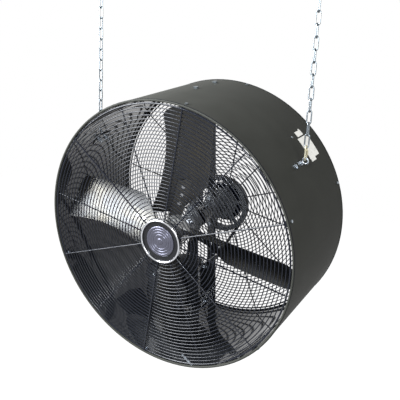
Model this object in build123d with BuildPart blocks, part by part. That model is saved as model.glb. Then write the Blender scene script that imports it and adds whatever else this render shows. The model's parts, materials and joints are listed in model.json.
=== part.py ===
# Hanging drum fan on two chains, belt driven.
# Row frame: +Z up, +X to the right seen from the front, -Y towards the front.
# The origin lies on the ceiling, midway between the two ceiling plates.
from build123d import *
from math import asin, atan2, cos, degrees, hypot, radians, sin, sqrt, tan
import os

os.makedirs("parts", exist_ok=True)

# Drum
drum_radius = 409.5  # outside of the sheet
drum_depth = 395
sheet = 1.5
bead = 3.5  # radius of the curled rim
bead_proud = 1  # how far the bead stands out of the sheet
tilt = 5.96  # the front looks down by this many degrees
wall_inside = drum_radius - sheet
seat_gap = 0.2  # between a plate and the curved wall that it lies on
head_gap = 0.1

# Eye bolts, which the drum hangs from
eye_angle = 55.7  # from the top, each way
eye_depth = 187  # behind the front rim
eye_rise = 19.9  # of the ring's centre above the sheet
eye_ring = 8
eye_wire = 2.4
eye_shank = 4
eye_shank_inside = 24  # how far the shank reaches past the wall

# Chain: 4 mm long link, 32 mm inside length
link_wire = 2
link_inside = 32
link_width = 8
link_count = 14
link_play = 0.1
join_wire = 2.25
join_inside = 34
join_width = 9
join_play = 0.05
sleeve_flats = 8
sleeve_length = 12

# Ceiling plates
plate_length = 100
plate_width = 40
plate_thick = 5
plate_hole = 4.25
plate_hole_spacing = 70
staple_wire = 3.5
staple_radius = 11.5
staple_drop = 27  # from the plate's underside to the wire's middle

# Guards
rib_wire = 2
ring_wire = 1.5
frame_wire = 2.5
guard_touch = 0.05
guard_inset = 4  # depth of the rings behind the rim
ring_pitch = 10.65
ring_first = 67.2
frame_ring_gap = 10  # from the wall to the middle of the outer ring's wire
frame_ring = wall_inside - frame_ring_gap
ring_count = int((frame_ring - frame_wire - ring_wire - ring_first) / ring_pitch) + 1
centre_ring = 52
centre_plate_gap = 0.7  # to the first ring's wire
centre_plate = ring_first - ring_wire - centre_plate_gap
centre_plate_sheet = 2
rib_count = 6  # on each side of the rings
rib_start = 11.5
tab_width = 14
tab_thick = 2
tab_depth = 27
tab_bend = 6.5  # depth of its first bend; the second is as far again
guard_screw_depth = 18

# Badge
badge_radius = 67
bezel_width = 5.5
bezel_height = 7.5
dish_thick = 2
disc_radius = 46
disc_thick = 3
badge_gap = 0.1
stud = 2.5

# Bolts: shank radius, across flats, head height, nut height
frame_bolt = (4, 13, 5.3, 6.5)
guard_bolt = (2.5, 8, 3.5, 4)
base_bolt = (4, 13, 5.3, 6.5)
guard_bolt_length = 11
frame_bolt_length = 16
bolt_reach = 9  # of the other bolts, past what they grip
bolt_play = 0.25  # hole radius over shank radius
nut_play = 0.05
nut_seat = 0.2  # between a nut and the curved plate under it
deep = 20  # of a hole drilled right through a thin piece
weld = 0.5  # how far two walls of one piece run into each other

# Backing plates inside the drum at the eye bolts
backing_thick = 3
backing_width = 40
backing_margin = 17
spare_bolt_depth = 154

# Bare plates on the right side: depths and angles
rating_depths = (264, 333)
rating_angles = (47, 56.5)
rating_tab_depths = (267, 300)
rating_tab_end = 57.8
serial_depths = (274, 314)
serial_angles = (44, 46.4)
plate_sheet = 0.6
plate_lift = 0.05
earth_screw_angle = 45.3
earth_screw_depth = 242
earth_screw_radius = 2

# Belt drive
belt_inset = 27  # from the rear rim to the middle of the belt
belt_depth = drum_depth - belt_inset
belt_width = 13
belt_height = 8
belt_angle = 19
belt_fit = 0.3
groove_depth = 11
sheave_width = 20
fan_sheave = 96
motor_sheave = 42
rim_inside = fan_sheave - groove_depth - 3
web_radius = 52
web_thick = 8
spoke_count = 6
spoke_width = 11
spoke_start = -48.5
spoke_root = 1  # how far a spoke runs into the web and the rim
sheave_hub = 24
sheave_hub_length = 30
small_hub = 18

# Struts: two upright angles across the drum
strut_width = 30
strut_thick = 3
strut_depths = (181.5, belt_depth - 72)
foot_length = 48
foot_bolt_set = 23.5  # from the strut's front face to the foot's bolt

# Fan shaft and bearings
shaft = 9.525
shaft_front = 50
shaft_rear = belt_depth + sheave_width / 2 + 3
shaft_hole = shaft + 2.475
inner_ring = shaft + 3.875
ball = 3.2
ball_circle = inner_ring + 2.1
outer_ring_inside = ball_circle + 2.1
housing_bore = outer_ring_inside + 5.9
housing_boss = housing_bore + 5.5
housing_length = 34.5
flange_thick = 12
flange_round = 31
flange_ear = 13
flange_bolt = 44
outer_ring_width = 16
outer_ring_set = 3
shield_inside = inner_ring + 0.2
shield_thick = 1.5
inner_ring_width = 26
ball_count = 8
running = 0.05
tube_outside = 28
tube_wall = 2
tube_gap = 0.2

# Spider and blades
blade_count = 4
blade_gap = 23  # from its tip to the wall
blade_tip = wall_inside - blade_gap
blade_root = 66
template_steps = (70, 220, blade_tip - 5)  # distances from the axis at which the blade's edges are given
front_edge_across = (-53, -12.5, -2)
front_edge_depth = (24, 49, 28)
rear_edge_across = (71, 99, 117)
rear_edge_depth = (128, 116, 107)
blade_camber = 12
blade_thick = 1.6
blade_spare = 4  # width of sheet that the outline trims from each edge
blade_spare_ends = (8, 7)  # what it trims at the root and at the tip
blade_station_count = 9
root_corner = (-44, 9)  # across the blade at its root: front corner, and start of the slanted cut
root_lean = (-62, 130)
root_round = 22
cut_end = 140  # how far across the slanted cut runs on
tip_round = 26
arm_thick = 4
arm_half = 21
arm_stations = (26, 58, 98, 138, 165)
arm_gap = 0.25
hub_radius = 36
hub_front = 56
hub_rear = 104
rivet = 3
rivet_head = 5.5
rivet_head_height = 2
rivet_steps = (92, 118, 144)
rivet_lift = 0.3  # of the head off the bent arm

# Motor and its mount
motor_drop = 272  # motor's axis below the drum's axis
motor_radius = 76
motor_lift = 12.9  # from the face that its base stands on to its shell
motor_height = motor_radius + motor_lift
mount_thick = 4
mount_depths = (strut_depths[0] - 5.5, strut_depths[1] + 36)
mount_heights = (-motor_drop - 80, -motor_drop + 80)
mount_bolt_set = 11.5  # behind the strut's front face
mount_bolt_heights = (-motor_drop - 64, -motor_drop + 64)
slot_length = 30
motor_wall = 3
motor_length = 126
motor_rear = belt_depth - 50
motor_front = motor_rear - motor_length
bell_depth = 22
bell_spigot = 5
bush_radius = 12
motor_shaft = 7.9375
motor_shaft_front = motor_front - 16
motor_shaft_rear = belt_depth + sheave_width / 2 + 4
stator_outside = motor_radius - 12
stator_inside = stator_outside - 22
rotor_outside = stator_inside - 0.6
core_depths = (motor_front + 22, motor_rear - 48)
winding_length = 12
winding_outside = stator_outside - 6
winding_inside = stator_inside + 4
through_bolt = 2.5
through_circle = motor_radius - 7.5
base_thick = 4
base_depths = (motor_front + 16, motor_rear - 22)
base_half_height = 78
base_web = 3
base_web_half = 58
base_bolt_half_depth = 30
base_bolt_half_height = 66
box_length = 80
box_width = 50
box_height = 32
box_wall = 2
box_turn = -70.7  # direction of the terminal box seen from the motor's axis
box_depth = (motor_front + motor_rear) / 2
gland_radius = 10
gland_length = 22
gland_bore = 4

# Where the drum hangs
axis_back = Vector(0, cos(radians(tilt)), sin(radians(tilt)))
axis_up = Vector(0, -sin(radians(tilt)), cos(radians(tilt)))
across = Vector(1, 0, 0)
staple_pivot = -plate_thick - staple_drop
top_link = staple_pivot + staple_wire + link_play - link_inside / 2
bottom_link = top_link - (link_count - 1) * (link_inside - link_play)
join_top = bottom_link - link_inside / 2 + link_play
eye_pivot = join_top - join_inside + eye_wire + join_play
eye_radius = drum_radius + eye_rise
eye_across = eye_radius * sin(radians(eye_angle))
eye_up = eye_radius * cos(radians(eye_angle))
rim_centre = Vector(0, 0, eye_pivot) - axis_up * (eye_up + eye_ring) - axis_back * eye_depth
drum_axis = Axis(rim_centre, axis_back)
motor_across = -(strut_width / 2 + mount_thick + motor_height)


def save(piece, name):
    piece.part.label = name
    export_step(piece.part, f"parts/{name}.step")


def place(x, y, depth):
    """Plane across the drum, facing the front: x right, y up, depth behind the front rim."""
    origin = rim_centre + across * x + axis_up * y + axis_back * depth
    return Plane(origin=origin, x_dir=across, z_dir=-axis_back)


def outward(angle):
    """Direction away from the drum's axis, by its angle from the top towards the right."""
    return across * sin(radians(angle)) + axis_up * cos(radians(angle))


def wall_plane(angle, depth, radius):
    """Plane that faces straight out of the drum: x runs back along the drum."""
    origin = rim_centre + axis_back * depth + outward(angle) * radius
    return Plane(origin=origin, x_dir=axis_back, z_dir=outward(angle))


def section_plane(angle):
    """Plane that holds the drum's axis: x is the radius, y the depth."""
    return Plane(origin=rim_centre, x_dir=outward(angle), z_dir=outward(angle).cross(axis_back))


def motor_plane(depth):
    return place(motor_across, -motor_drop, depth)


def motor_section():
    origin = rim_centre + across * motor_across - axis_up * motor_drop
    return Plane(origin=origin, x_dir=across, z_dir=axis_up)


def side_plane(x, y, depth, towards):
    """Plane that faces sideways: its x runs back along the drum."""
    origin = rim_centre + across * x + axis_up * y + axis_back * depth
    return Plane(origin=origin, x_dir=axis_back, z_dir=across * towards)


def ring(plane, outside, inside, height, mode=Mode.ADD):
    with BuildSketch(plane) as face:
        Circle(outside)
        if inside:
            Circle(inside, mode=Mode.SUBTRACT)
    extrude(face.sketch, amount=height, mode=mode)


def drill(plane, radius, depth):
    ring(plane, radius, 0, -depth, mode=Mode.SUBTRACT)


def block(plane, length, width, height):
    with BuildSketch(plane) as face:
        Rectangle(length, width)
    extrude(face.sketch, amount=height)


def bolt(plane, sizes, length):
    shank, flats, head, _ = sizes
    with BuildSketch(plane) as face:
        RegularPolygon(flats / 2, 6, major_radius=False)
    extrude(face.sketch, amount=head)
    ring(plane, shank, 0, -length)


def nut(plane, sizes):
    """A nut that hangs below the plane."""
    shank, flats, _, height = sizes
    with BuildSketch(plane) as face:
        RegularPolygon(flats / 2, 6, major_radius=False)
        Circle(shank + nut_play, mode=Mode.SUBTRACT)
    extrude(face.sketch, amount=-height)


def wall_patch(angles, depths, inside, outside):
    """A curved plate that follows the drum's wall."""
    span = angles[1] - angles[0]
    with BuildSketch(place(0, 0, depths[1])) as face:
        with BuildLine():
            outer = CenterArc((0, 0), outside, 90 - angles[1], span)
            inner = CenterArc((0, 0), inside, 90 - angles[1], span)
            Line(outer @ 0, inner @ 0)
            Line(outer @ 1, inner @ 1)
        make_face()
    extrude(face.sketch, amount=depths[1] - depths[0])


def turned(plane, points, axis):
    """A round piece from its section, as points of radius and depth."""
    with BuildSketch(plane) as face:
        with BuildLine():
            Polyline(*points, close=True)
        make_face()
    revolve(face.sketch, axis=axis)


def oval_link(plane, inside, width, wire):
    """A chain link: a round wire along a slot, long way up."""
    bend = width / 2 + wire
    straight = inside / 2 + wire - bend
    with BuildLine(plane) as path:
        right = Line((bend, -straight), (bend, straight))
        top = CenterArc((0, straight), bend, 0, 180)
        left = Line(top @ 1, (-bend, -straight))
        CenterArc((0, -straight), bend, 180, 180)
    with BuildSketch(Plane(origin=right @ 0, z_dir=right % 0)) as wire_face:
        Circle(wire)
    sweep(wire_face.sketch, path=path.line)


def ceiling_plate(side, name):
    x = side * eye_across
    with BuildPart() as piece:
        with BuildSketch(Plane(origin=(x, 0, -plate_thick))) as face:
            RectangleRounded(plate_width, plate_length, 6)
            with GridLocations(0, plate_hole_spacing, 1, 2):
                Circle(plate_hole, mode=Mode.SUBTRACT)
        extrude(face.sketch, amount=plate_thick)
        with BuildLine(Plane.XZ) as path:
            drop = staple_pivot + staple_radius
            down = Line((x - staple_radius, -plate_thick + 1), (x - staple_radius, drop))
            CenterArc((x, drop), staple_radius, 180, 180)
            Line((x + staple_radius, drop), (x + staple_radius, -plate_thick + 1))
        with BuildSketch(Plane(origin=down @ 0, z_dir=down % 0)) as wire_face:
            Circle(staple_wire)
        sweep(wire_face.sketch, path=path.line)
    save(piece, name)


def chain(side, name):
    """Links alternate: the lowest lies across the drum, the next along it."""
    with BuildPart() as piece:
        for number in range(link_count):
            height = bottom_link + number * (link_inside - link_play)
            direction = (1, 0, 0) if number % 2 == 0 else (0, 1, 0)
            normal = (0, -1, 0) if number % 2 == 0 else (1, 0, 0)
            plane = Plane(origin=(side * eye_across, 0, height), x_dir=direction, z_dir=normal)
            oval_link(plane, link_inside, link_width, link_wire)
    save(piece, name)


def join_plane(side):
    return Plane(origin=(side * eye_across, 0, join_top - join_inside / 2), x_dir=(0, 1, 0), z_dir=(1, 0, 0))


def quick_links():
    with BuildPart() as piece:
        for side in (-1, 1):
            oval_link(join_plane(side), join_inside, join_width, join_wire)
    save(piece, "quick_links")


def quick_link_sleeves():
    """A long nut closes each connecting link on its rear leg."""
    with BuildPart() as piece:
        for side in (-1, 1):
            leg = join_width / 2 + join_wire
            origin = (side * eye_across, leg, join_top - join_inside / 2 - sleeve_length / 2)
            with BuildSketch(Plane(origin=origin)) as face:
                RegularPolygon(sleeve_flats / 2, 6, major_radius=False)
                Circle(join_wire + nut_play, mode=Mode.SUBTRACT)
            extrude(face.sketch, amount=sleeve_length)
    save(piece, "quick_link_sleeves")


def screw_angles():
    return [rib_start + 60 * k for k in range(rib_count)]


def guard_screw_depths():
    return (guard_screw_depth, drum_depth - guard_screw_depth)


def frame_bolt_places():
    """Angle and depth of the strut feet's bolts and of the spare bolt at each eye bolt."""
    feet = [(angle, depth + foot_bolt_set) for depth in strut_depths for angle in (0, 180)]
    return feet + [(eye_angle, spare_bolt_depth), (-eye_angle, spare_bolt_depth)]


def drum_shell():
    bead_centre = drum_radius + bead_proud - bead
    with BuildPart() as piece:
        with BuildSketch(section_plane(90)) as face:
            with Locations((drum_radius - sheet / 2, drum_depth / 2)):
                Rectangle(sheet, drum_depth - 2 * bead)
            with Locations((bead_centre, bead), (bead_centre, drum_depth - bead)):
                Circle(bead)
        revolve(face.sketch, axis=drum_axis)
        reach = 5 * sheet
        for angle in screw_angles():
            for depth in guard_screw_depths():
                drill(wall_plane(angle, depth, drum_radius + sheet), guard_bolt[0] + bolt_play, reach)
        for angle, depth in frame_bolt_places():
            drill(wall_plane(angle, depth, drum_radius + sheet), frame_bolt[0] + bolt_play, reach)
        for angle in (eye_angle, -eye_angle):
            drill(wall_plane(angle, eye_depth, drum_radius + sheet), eye_shank + bolt_play, reach)
        place_of_earth = wall_plane(earth_screw_angle, earth_screw_depth, drum_radius + sheet)
        drill(place_of_earth, earth_screw_radius + bolt_play, reach)
    save(piece, "drum_shell")


def guard_tab(angle, rings_at, inwards):
    """A strap from the side of the outer ring, past the bead, to the wall: it takes the screw."""
    beside_ring = frame_ring + frame_wire + tab_thick / 2 + guard_touch
    lie = wall_inside - seat_gap - tab_thick / 2 - head_gap
    bends = [(beside_ring, guard_inset - frame_wire), (beside_ring, tab_bend),
             (lie, 2 * tab_bend), (lie, tab_depth)]
    points = [(radius, rings_at + inwards * (depth - guard_inset)) for radius, depth in bends]
    with BuildSketch(section_plane(angle)) as face:
        for start, end in zip(points, points[1:]):
            length = hypot(end[0] - start[0], end[1] - start[1])
            turn = degrees(atan2(end[1] - start[1], end[0] - start[0]))
            with Locations(((start[0] + end[0]) / 2, (start[1] + end[1]) / 2)):
                Rectangle(length, tab_thick, rotation=turn)
            with Locations(end):
                Circle(tab_thick / 2)
    extrude(face.sketch, amount=tab_width / 2, both=True)


def guard_frame(name, rings_at, inwards, has_plate):
    """Tabs, ribs on both sides of the rings, an outer ring, and a centre ring or plate.

    The ribs end where they meet the round of the outer ring, and of the centre ring.
    """
    rib_offset = rib_wire + ring_wire + guard_touch
    beside = sqrt((frame_wire + guard_touch) ** 2 - (rib_offset - rib_wire) ** 2)
    inner_end = centre_plate + guard_touch if has_plate else centre_ring + beside
    hole_depth = rings_at + inwards * (guard_screw_depth - guard_inset)
    with BuildPart() as piece:
        for angle in screw_angles():
            guard_tab(angle, rings_at, inwards)
            drill(wall_plane(angle, hole_depth, drum_radius), guard_bolt[0] + bolt_play, 8 * sheet)
        for k in range(rib_count):
            for offset, angle in ((-rib_offset, rib_start), (rib_offset, rib_start + 180 / rib_count)):
                start = wall_plane(angle + 360 / rib_count * k, rings_at + offset * inwards, inner_end)
                ring(start, rib_wire, 0, frame_ring - beside - inner_end)
        with Locations(place(0, 0, rings_at)):
            Torus(frame_ring, frame_wire)
            if not has_plate:
                Torus(centre_ring, frame_wire)
        if has_plate:
            rear_face = rings_at + frame_wire
            ring(place(0, 0, rear_face), centre_plate, 0, 2 * frame_wire)
            hollow = place(0, 0, rear_face - centre_plate_sheet)
            ring(hollow, centre_plate - centre_plate_sheet, 0, 2 * frame_wire, mode=Mode.SUBTRACT)
    save(piece, name)


def guard_rings(name, rings_at):
    """Concentric wires, eight-sided, each with a flat side against the ribs."""
    with BuildPart() as piece:
        with BuildSketch(section_plane(90)) as face:
            for k in range(ring_count):
                with Locations((ring_first + k * ring_pitch, rings_at)):
                    RegularPolygon(ring_wire, 8, major_radius=False, rotation=22.5)
        revolve(face.sketch, axis=drum_axis)
    save(piece, name)


def guard_screws():
    with BuildPart() as piece:
        for angle in screw_angles():
            for depth in guard_screw_depths():
                bolt(wall_plane(angle, depth, drum_radius + head_gap), guard_bolt, guard_bolt_length)
    save(piece, "guard_screws")


def guard_nuts():
    under_tab = wall_inside - seat_gap - tab_thick - nut_seat
    with BuildPart() as piece:
        for angle in screw_angles():
            for depth in guard_screw_depths():
                nut(wall_plane(angle, depth, under_tab), guard_bolt)
    save(piece, "guard_nuts")


badge_back = guard_inset - ring_wire - 2 * rib_wire - guard_touch - badge_gap


def badge_bezel():
    inside = badge_radius - bezel_width
    front = badge_back - bezel_height
    with BuildPart() as piece:
        with BuildSketch(section_plane(90)) as face:
            with BuildLine():
                Line((inside, badge_back), (badge_radius, badge_back))
                Line((badge_radius, badge_back), (badge_radius, front + 3.5))
                ThreePointArc((badge_radius, front + 3.5), (badge_radius - 2, front), (inside, front + 4))
                Line((inside, front + 4), (inside, badge_back))
            make_face()
        revolve(face.sketch, axis=drum_axis)
    save(piece, "badge_bezel")


def badge_dish():
    """Black plate inside the bezel, with the stud that holds the badge to the guard."""
    with BuildPart() as piece:
        ring(place(0, 0, badge_back), badge_radius - bezel_width - badge_gap, 0, dish_thick)
        stud_end = guard_inset + ring_wire + 2 * rib_wire + 2 * tab_thick + guard_bolt[3]
        ring(place(0, 0, stud_end + 2), stud, 0, stud_end + 2 - badge_back)
    save(piece, "badge_dish")


def badge_disc():
    """Plain turned disc with a raised middle and three fine grooves."""
    back = badge_back - dish_thick - badge_gap
    front = back - disc_thick
    points = [(0, back), (disc_radius, back), (disc_radius, front + 1), (disc_radius - 1.5, front)]
    for radius in (38, 30, 22):
        points += [(radius + 1, front), (radius, front + 0.8), (radius - 1, front)]
    points += [(10, front), (8, front - 1.2), (0, front - 1.6)]
    with BuildPart() as piece:
        turned(section_plane(90), points, drum_axis)
    save(piece, "badge_disc")


def badge_clamp():
    back = guard_inset + ring_wire + 2 * rib_wire + guard_touch + badge_gap
    with BuildPart() as piece:
        with BuildSketch(place(0, 0, back + tab_thick)) as face:
            SlotOverall(2 * centre_ring + 14, tab_width)
            Circle(stud + nut_play, mode=Mode.SUBTRACT)
        extrude(face.sketch, amount=tab_thick)
        nut(place(0, 0, back + tab_thick + guard_bolt[3] + head_gap).offset(guard_bolt[3]), guard_bolt)
    save(piece, "badge_clamp")


def eye_bolts():
    with BuildPart() as piece:
        for side in (-1, 1):
            centre = outward(side * eye_angle) * eye_radius
            middle = rim_centre + axis_back * eye_depth + centre
            ring_section = Plane(origin=middle, x_dir=across, z_dir=axis_up)
            with BuildSketch(ring_section) as face:
                with Locations((eye_ring, 0)):
                    Circle(eye_wire)
            revolve(face.sketch, axis=Axis(middle, axis_back))
            start = wall_plane(side * eye_angle, eye_depth, wall_inside - eye_shank_inside)
            ring(start, eye_shank, 0, eye_radius - eye_ring - wall_inside + eye_shank_inside)
    save(piece, "eye_bolts")


under_backing = wall_inside - seat_gap - backing_thick - nut_seat


def eye_bolt_nuts():
    with BuildPart() as piece:
        for angle in (eye_angle, -eye_angle):
            nut(wall_plane(angle, eye_depth, drum_radius + head_gap + frame_bolt[3]), frame_bolt)
            nut(wall_plane(angle, eye_depth, under_backing), frame_bolt)
    save(piece, "eye_bolt_nuts")


def backing_plates():
    half = degrees(backing_width / 2 / wall_inside)
    outside = wall_inside - seat_gap
    depths = (spare_bolt_depth - backing_margin, eye_depth + backing_margin)
    with BuildPart() as piece:
        for angle in (eye_angle, -eye_angle):
            wall_patch((angle - half, angle + half), depths, outside - backing_thick, outside)
            for depth in (spare_bolt_depth, eye_depth):
                drill(wall_plane(angle, depth, drum_radius), frame_bolt[0] + bolt_play, deep)
    save(piece, "backing_plates")


def frame_bolts():
    with BuildPart() as piece:
        for angle, depth in frame_bolt_places():
            bolt(wall_plane(angle, depth, drum_radius + head_gap), frame_bolt, frame_bolt_length)
    save(piece, "frame_bolts")


def frame_nuts():
    with BuildPart() as piece:
        for angle, depth in frame_bolt_places():
            nut(wall_plane(angle, depth, under_backing), frame_bolt)
    save(piece, "frame_nuts")


def rating_plate():
    inside = drum_radius + plate_lift
    with BuildPart() as piece:
        wall_patch(rating_angles, rating_depths, inside, inside + plate_sheet)
        wall_patch((rating_angles[1], rating_tab_end), rating_tab_depths, inside, inside + plate_sheet)
    save(piece, "rating_plate")


def serial_plate():
    inside = drum_radius + plate_lift
    tab = serial_depths[1] - 9
    with BuildPart() as piece:
        wall_patch(serial_angles, serial_depths, inside, inside + plate_sheet)
        wall_patch((serial_angles[0] - 0.6, serial_angles[0]), (tab, tab + 6), inside, inside + plate_sheet)
    save(piece, "serial_plate")


def earth_screw():
    with BuildPart() as piece:
        seat = wall_plane(earth_screw_angle, earth_screw_depth, drum_radius + head_gap)
        ring(seat, 2 * earth_screw_radius, 0, 2)
        ring(seat, earth_screw_radius, 0, -8)
        fillet(piece.edges().filter_by(GeomType.CIRCLE).sort_by(Axis(seat.origin, seat.z_dir))[-1], 1.2)
    save(piece, "earth_screw")


def strut(name, front):
    """An angle: one leg faces the front, the other runs back on the left. Its ends are curved feet."""
    foot_outside = wall_inside - seat_gap
    foot_inside = foot_outside - backing_thick
    half = degrees(asin(strut_width / 2 / foot_outside))
    middle_of_side = -(strut_width - strut_thick) / 2
    with BuildPart() as piece:
        block(place(0, 0, front + strut_thick), strut_width, 2 * foot_outside, strut_thick)
        block(place(middle_of_side, 0, front + strut_width), strut_thick, 2 * foot_outside, strut_width)
        ring(place(0, 0, front + strut_width), foot_inside + weld, 0, strut_width, mode=Mode.INTERSECT)
        for angle in (0, 180):
            wall_patch((angle - half, angle + half), (front, front + foot_length), foot_inside, foot_outside)
            drill(wall_plane(angle, front + foot_bolt_set, drum_radius), frame_bolt[0] + bolt_play, deep)
        drill(place(0, 0, front).offset(1), shaft_hole, 2 * strut_thick)
        for y in (flange_bolt, -flange_bolt):
            drill(place(0, y, front).offset(1), base_bolt[0] + bolt_play, 2 * strut_thick)
        for y in mount_bolt_heights:
            seat = side_plane(-strut_width / 2 - 1, y, front + mount_bolt_set, -1)
            drill(seat, base_bolt[0] + bolt_play, 2 * strut_thick)
    save(piece, name)


def bearing_housing(name, seat):
    """Cast two-bolt flange bearing, standing on the front face of a strut."""
    with BuildPart() as piece:
        with BuildSketch(place(0, 0, seat)) as face:
            Circle(flange_round)
            with Locations((0, flange_bolt), (0, -flange_bolt)):
                Circle(flange_ear)
            make_hull()
            with Locations((0, flange_bolt), (0, -flange_bolt)):
                Circle(base_bolt[0] + bolt_play, mode=Mode.SUBTRACT)
        extrude(face.sketch, amount=flange_thick)
        ring(place(0, 0, seat), housing_boss, 0, housing_length)
        front = seat - housing_length
        drill(place(0, 0, front).offset(1), housing_bore, outer_ring_width + outer_ring_set + 2)
        drill(place(0, 0, front).offset(1), housing_bore - 4, housing_length + 2)
    save(piece, name)


def ring_front(seat):
    return seat - housing_length + outer_ring_set


def bearing_outer_rings():
    """Outer ring with its two shields, and the groove for the balls."""
    with BuildPart() as piece:
        for seat in strut_depths:
            front = ring_front(seat)
            rear = front + outer_ring_width
            outside = housing_bore - running
            with BuildSketch(section_plane(90)) as face:
                with BuildLine():
                    Polyline((shield_inside, front), (outside, front), (outside, rear), (shield_inside, rear),
                             (shield_inside, rear - shield_thick), (outer_ring_inside, rear - shield_thick),
                             (outer_ring_inside, front + shield_thick), (shield_inside, front + shield_thick),
                             close=True)
                make_face()
                with Locations((ball_circle, (front + rear) / 2)):
                    Circle(ball + running, mode=Mode.SUBTRACT)
            revolve(face.sketch, axis=drum_axis)
    save(piece, "bearing_outer_rings")


def bearing_inner_rings():
    with BuildPart() as piece:
        for seat in strut_depths:
            middle = ring_front(seat) + outer_ring_width / 2
            with BuildSketch(section_plane(90)) as face:
                with Locations(((shaft + running + inner_ring) / 2, middle)):
                    Rectangle(inner_ring - shaft - running, inner_ring_width)
                with Locations((ball_circle, middle)):
                    Circle(ball + running, mode=Mode.SUBTRACT)
            revolve(face.sketch, axis=drum_axis)
    save(piece, "bearing_inner_rings")


def bearing_balls():
    with BuildPart() as piece:
        for seat in strut_depths:
            middle = ring_front(seat) + outer_ring_width / 2
            with Locations(place(0, 0, middle)):
                with PolarLocations(ball_circle, ball_count):
                    Sphere(ball)
    save(piece, "bearing_balls")


def mounting_bolt_places():
    """Seats of the bearing bolts and of the motor mount's bolts, with their lengths."""
    bearings = [(place(0, y, seat - flange_thick - head_gap), flange_thick + strut_thick + bolt_reach)
                for seat in strut_depths for y in (flange_bolt, -flange_bolt)]
    left = -strut_width / 2 - mount_thick - head_gap
    mounts = [(side_plane(left, y, front + mount_bolt_set, -1), mount_thick + strut_thick + bolt_reach)
              for front in strut_depths for y in mount_bolt_heights]
    return bearings + mounts


def mounting_bolts():
    with BuildPart() as piece:
        for seat, length in mounting_bolt_places():
            bolt(seat, base_bolt, length)
    save(piece, "mounting_bolts")


def mounting_nuts():
    with BuildPart() as piece:
        for seat, length in mounting_bolt_places():
            nut(seat.offset(-(length - bolt_reach + 2 * head_gap)), base_bolt)
    save(piece, "mounting_nuts")


def shaft_tube():
    """Dust tube round the shaft, from the front strut to the rear bearing."""
    front = strut_depths[0] + strut_width + tube_gap
    rear = strut_depths[1] - housing_length - tube_gap
    with BuildPart() as piece:
        ring(place(0, 0, rear), tube_outside, tube_outside - tube_wall, rear - front)
    save(piece, "shaft_tube")


def fan_shaft():
    with BuildPart() as piece:
        ring(place(0, 0, shaft_rear), shaft, 0, shaft_rear - shaft_front)
        chamfer(piece.edges().filter_by(GeomType.CIRCLE), 1)
    save(piece, "fan_shaft")


def template(values, distance):
    """The curve through a template's three values, read at any distance from the axis."""
    total = 0
    for i, at in enumerate(template_steps):
        share = values[i]
        for j, other in enumerate(template_steps):
            if j != i:
                share *= (distance - other) / (at - other)
        total += share
    return total


def blade_edges(distance):
    """Front and rear edge of the blade's section: across, depth."""
    front = Vector(template(front_edge_across, distance), template(front_edge_depth, distance))
    rear = Vector(template(rear_edge_across, distance), template(rear_edge_depth, distance))
    return front, rear


def blade_arc(distance):
    """Centre and radius of the arc that the blade's section follows, its hollow side, and half its angle."""
    front, rear = blade_edges(distance)
    chord = rear - front
    half = chord.length / 2
    radius = (half**2 + blade_camber**2) / (2 * blade_camber)
    hollow_side = Vector(chord.Y, -chord.X).normalized()
    centre = (rear + front) / 2 + hollow_side * (radius - blade_camber)
    return centre, radius, hollow_side, degrees(asin(half / radius))


def section_frame(angle, distance):
    """Plane across a blade: x across it, y back, facing out from the axis."""
    along = outward(angle)
    return Plane(origin=rim_centre + along * distance, x_dir=outward(angle + 90), z_dir=along)


def bent_sheet(angle, stations, half_width, inner, outer):
    """A twisted sheet through the blade's arcs, inner to outer from them; no half width means all of it."""
    sections = []
    for distance in stations:
        centre, radius, hollow_side, half = blade_arc(distance)
        half = degrees(half_width / radius) if half_width else half + degrees(blade_spare / radius)
        start = degrees(atan2(-hollow_side.Y, -hollow_side.X)) - half
        with BuildSketch(section_frame(angle, distance)) as section:
            with BuildLine():
                outside = CenterArc((centre.X, centre.Y), radius + outer, start, 2 * half)
                inside = CenterArc((centre.X, centre.Y), radius + inner, start, 2 * half)
                Line(outside @ 0, inside @ 0)
                Line(outside @ 1, inside @ 1)
            make_face()
        sections += section.sketch.faces()
    loft(sections)


def arc_top(angle, distance):
    """The middle of the blade's arc, and the way to its hollow side within the section."""
    centre, radius, hollow_side, _ = blade_arc(distance)
    frame = section_frame(angle, distance)
    top = centre - hollow_side * radius
    into = frame.x_dir * hollow_side.X + frame.y_dir * hollow_side.Y
    return frame.origin + frame.x_dir * top.X + frame.y_dir * top.Y, into


def blade_rivet_planes(angle):
    """Planes square to the blade at the middle of its arc, facing its hollow side."""
    planes = []
    for distance in rivet_steps:
        origin, into = arc_top(angle, distance)
        along = (arc_top(angle, distance + 1)[0] - arc_top(angle, distance - 1)[0]).normalized()
        normal = (into - along * into.dot(along)).normalized()
        planes.append(Plane(origin=origin, x_dir=along, z_dir=normal))
    return planes


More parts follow.
